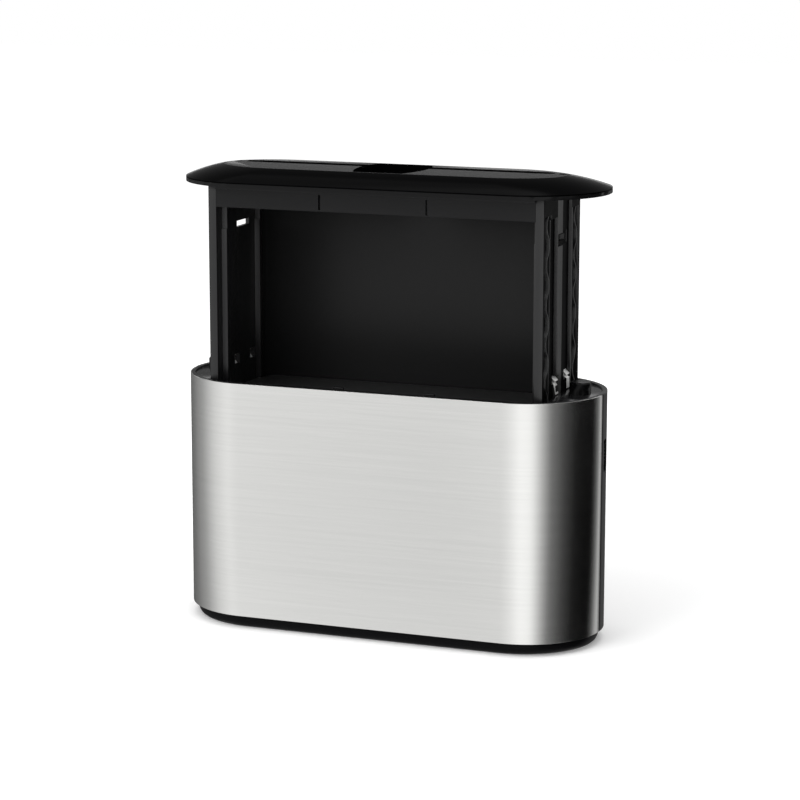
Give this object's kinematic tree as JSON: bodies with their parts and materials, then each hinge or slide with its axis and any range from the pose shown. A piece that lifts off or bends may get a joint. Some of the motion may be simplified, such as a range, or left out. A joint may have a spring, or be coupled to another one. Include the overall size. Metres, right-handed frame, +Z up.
{
  "type": "countertop paper towel dispenser",
  "caption": "Countertop dispenser for folded paper towels, with a steel-fronted oval cabinet, a lifting lid carriage and a sprung towel platform.",
  "frame": {"origin": "on the counter, under the middle of the cabinet", "axes": "+Z up, +X to the right as seen from the front, -Y the steel front"},
  "size_m": [0.323, 0.118, 0.3415],
  "materials": {
    "steel": "brushed",
    "gloss_black": "gloss",
    "black_plastic": "satin",
    "deck_grey": "satin",
    "platform_plastic": "satin",
    "pad_plastic": "satin",
    "latch_plastic": "satin",
    "rubber": "matte",
    "screw_steel": "zinc",
    "spring_steel": "bright"
  },
  "bodies": {
    "cabinet": {"base_plinth": "black_plastic", "rubber_feet": "rubber", "base_screws": "screw_steel", "spring_cups": "black_plastic", "front_shell": "black_plastic", "steel_front_wrap": "steel", "rear_cover": "black_plastic", "shaft_front_wall": "black_plastic", "shaft_back_wall": "black_plastic", "shaft_wall_left": "black_plastic", "shaft_wall_right": "black_plastic", "deck_left": "deck_grey", "deck_right": "deck_grey", "stop_post_left": "deck_grey", "stop_post_right": "deck_grey", "latch_pin_left": "screw_steel", "latch_pin_right": "screw_steel", "latch_spring_left": "spring_steel", "latch_spring_right": "spring_steel", "lift_spring_left": "spring_steel", "lift_spring_right": "spring_steel"},
    "carriage": {"side_frame_left": "black_plastic", "side_frame_right": "black_plastic", "brake_clips_left": "spring_steel", "brake_clips_right": "spring_steel", "front_header": "black_plastic", "back_panel": "black_plastic", "lid_pan": "black_plastic", "lid_cover": "gloss_black", "lid_screws": "screw_steel"},
    "platform": {"towel_platform": "platform_plastic", "platform_pads": "pad_plastic"},
    "latch_left_body": {"latch_left": "latch_plastic"},
    "latch_right_body": {"latch_right": "latch_plastic"}
  },
  "joints": [
    {"name": "carriage_slide", "type": "slide", "parent": "cabinet", "child": "carriage", "axis": [0, 0, 1], "range_m": [-0.135, 0]},
    {"name": "platform_slide", "type": "slide", "parent": "cabinet", "child": "platform", "axis": [0, 0, 1], "range_m": [-0.135, 0], "stiffness_N_per_m": 30, "springref_m": 0.15, "deforming": ["lift_spring_left", "lift_spring_right"]},
    {"name": "latch_right_press", "type": "hinge", "parent": "cabinet", "child": "latch_right_body", "pos_m": [0.14, 0.006, 0.146], "axis": [0, 1, 0], "range_deg": [-5, 8], "stiffness_Nm_per_rad": 0.05},
    {"name": "latch_left_press", "type": "hinge", "parent": "cabinet", "child": "latch_left_body", "pos_m": [-0.14, 0.006, 0.146], "axis": [0, -1, 0], "range_deg": [-5, 8], "stiffness_Nm_per_rad": 0.05}
  ]
}
